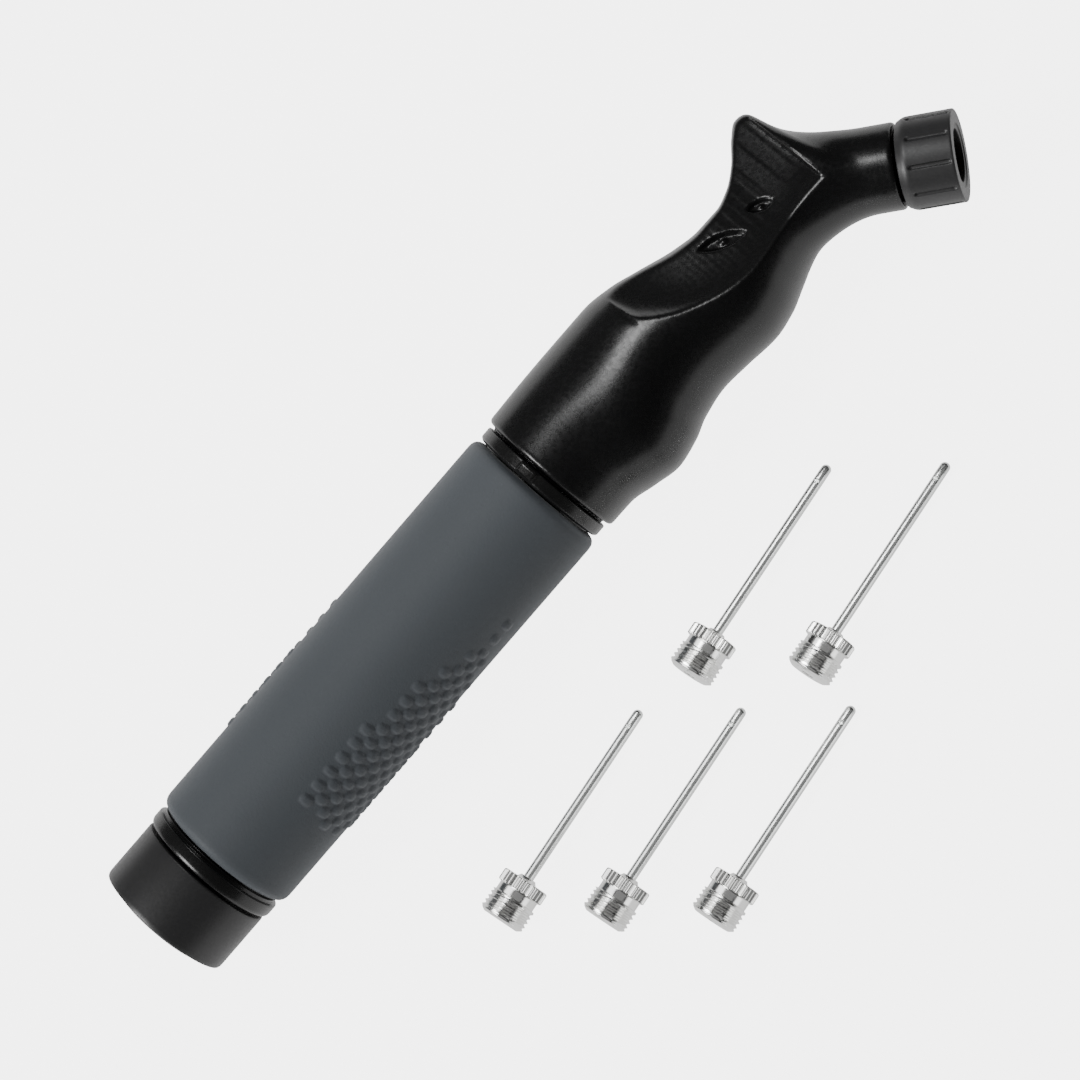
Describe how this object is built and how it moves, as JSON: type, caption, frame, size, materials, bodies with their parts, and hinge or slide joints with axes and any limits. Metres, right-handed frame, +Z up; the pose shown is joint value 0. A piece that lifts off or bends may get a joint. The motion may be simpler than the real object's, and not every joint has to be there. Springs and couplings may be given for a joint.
{
  "type": "ball inflation pump",
  "caption": "Slim hand pump for sports balls: grooved handle with a horn and an angled, capped nozzle, soft-sleeved sliding barrel, screw end cap, and separate inflation needles.",
  "frame": {"origin": "middle of the bounding box in plan, at the flat surface the pump and needles lie on", "axes": "+X along the barrel from the end cap to the head, +Z up, nozzle leaning towards -Y"},
  "size_m": [0.178, 0.084, 0.0254],
  "materials": {
    "handle_plastic": "satin, finely grained",
    "cap_plastic": "satin",
    "ring_plastic": "semi-gloss",
    "grip_rubber": "matte, soft touch",
    "barrel_plastic": "semi-gloss",
    "inner_plastic": "as moulded",
    "brass": "turned",
    "rod_aluminium": "drawn, satin",
    "seal_rubber": "matte",
    "valve_steel": "polished",
    "needle_chrome": "bright nickel plate",
    "needle_tube_steel": "bright nickel plate"
  },
  "bodies": {
    "handle": {"handle_body": "handle_plastic", "rod_anchor": "inner_plastic", "rod_nut": "brass", "rod_end_seal": "seal_rubber", "piston_rod": "rod_aluminium", "piston_head": "inner_plastic", "piston_seals": "seal_rubber", "piston_valve": "seal_rubber", "valve_body": "inner_plastic", "valve_spring": "valve_steel", "nozzle_insert": "brass", "needle_gasket": "seal_rubber"},
    "barrel": {"barrel_tube": "barrel_plastic", "barrel_ring": "ring_plastic", "grip_sleeve": "grip_rubber", "collar": "ring_plastic", "rod_bushing": "inner_plastic", "rod_seal": "seal_rubber", "stop_bumper": "seal_rubber"},
    "end_cap_gasket": {"end_cap_gasket": "seal_rubber"},
    "end_cap": {"end_cap": "cap_plastic"},
    "valve_ball": {"valve_ball": "valve_steel"},
    "cap_washer": {"cap_washer": "seal_rubber"},
    "nozzle_cap": {"nozzle_cap": "cap_plastic"},
    "needle_1": {"needle_hub_1": "needle_chrome", "needle_tube_1": "needle_tube_steel"},
    "needle_2": {"needle_hub_2": "needle_chrome", "needle_tube_2": "needle_tube_steel"},
    "needle_3": {"needle_hub_3": "needle_chrome", "needle_tube_3": "needle_tube_steel"},
    "needle_4": {"needle_hub_4": "needle_chrome", "needle_tube_4": "needle_tube_steel"},
    "needle_5": {"needle_hub_5": "needle_chrome", "needle_tube_5": "needle_tube_steel"}
  },
  "joints": [
    {"name": "pump_stroke", "type": "slide", "parent": "handle", "child": "barrel", "axis": [-1, 0, 0], "range_m": [0, 0.0715]},
    {"name": "end_cap_travel", "type": "slide", "parent": "barrel", "child": "end_cap_gasket", "axis": [-1, 0, 0], "range_m": [0, 0.007]},
    {"name": "end_cap_turn", "type": "hinge", "parent": "end_cap_gasket", "child": "end_cap", "pos_m": [-0.08903, 0.02697, 0.01271], "axis": [-1, 0, 0], "range_deg": [0, 1260.5]},
    {"name": "outlet_valve", "type": "slide", "parent": "handle", "child": "valve_ball", "axis": [0.7431, -0.6691, 0], "range_m": [0, 0.001], "stiffness_N_per_m": 150, "springref_m": -0.001, "deforming": ["valve_spring"]},
    {"name": "nozzle_cap_travel", "type": "slide", "parent": "handle", "child": "cap_washer", "axis": [0.7431, -0.6691, 0], "range_m": [0, 0.00525]},
    {"name": "nozzle_cap_turn", "type": "hinge", "parent": "cap_washer", "child": "nozzle_cap", "pos_m": [0.08043, 0.01359, 0.01271], "axis": [0.7431, -0.6691, 0], "range_deg": [0, 1260.5]},
    {"name": "needle_1_lift", "type": "slide", "parent": "handle", "child": "needle_1", "axis": [0, 0, 1], "range_m": [0, 0.05]},
    {"name": "needle_2_lift", "type": "slide", "parent": "handle", "child": "needle_2", "axis": [0, 0, 1], "range_m": [0, 0.05]},
    {"name": "needle_3_lift", "type": "slide", "parent": "handle", "child": "needle_3", "axis": [0, 0, 1], "range_m": [0, 0.05]},
    {"name": "needle_4_lift", "type": "slide", "parent": "handle", "child": "needle_4", "axis": [0, 0, 1], "range_m": [0, 0.05]},
    {"name": "needle_5_lift", "type": "slide", "parent": "handle", "child": "needle_5", "axis": [0, 0, 1], "range_m": [0, 0.05]}
  ],
  "couplings": [
    {"joint": "end_cap_turn", "follows": "end_cap_travel", "rad_per_m": 3141.6},
    {"joint": "nozzle_cap_turn", "follows": "nozzle_cap_travel", "rad_per_m": 4188.8}
  ]
}
